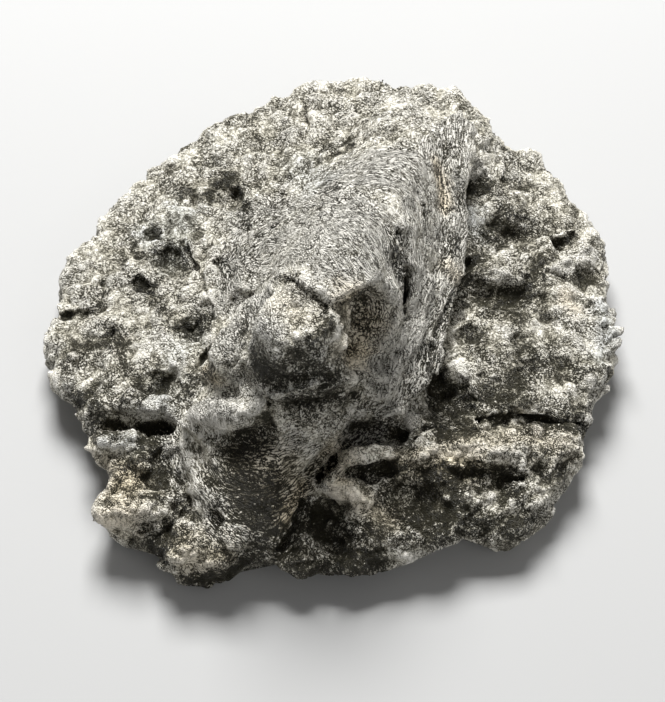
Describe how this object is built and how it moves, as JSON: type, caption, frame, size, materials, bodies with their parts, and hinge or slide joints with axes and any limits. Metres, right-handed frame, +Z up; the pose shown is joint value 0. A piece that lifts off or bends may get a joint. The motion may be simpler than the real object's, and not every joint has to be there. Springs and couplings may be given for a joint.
{
  "type": "fossil scute",
  "caption": "Round plate of fossil bone with a tall keel, a pitted upper face, a lobed rim and a shallow dished underside.",
  "frame": {"origin": "middle of the plan at the level of the ground it rests on", "axes": "+Z up, -Y towards the tall hind end of the keel, +X to the right seen from the hind end"},
  "size_m": [0.0632, 0.0662, 0.0279],
  "materials": {
    "bone": "dry, rough mineralised bone, speckled cream on dark grey"
  },
  "bodies": {
    "root": {"scute": "bone"}
  },
  "joints": []
}
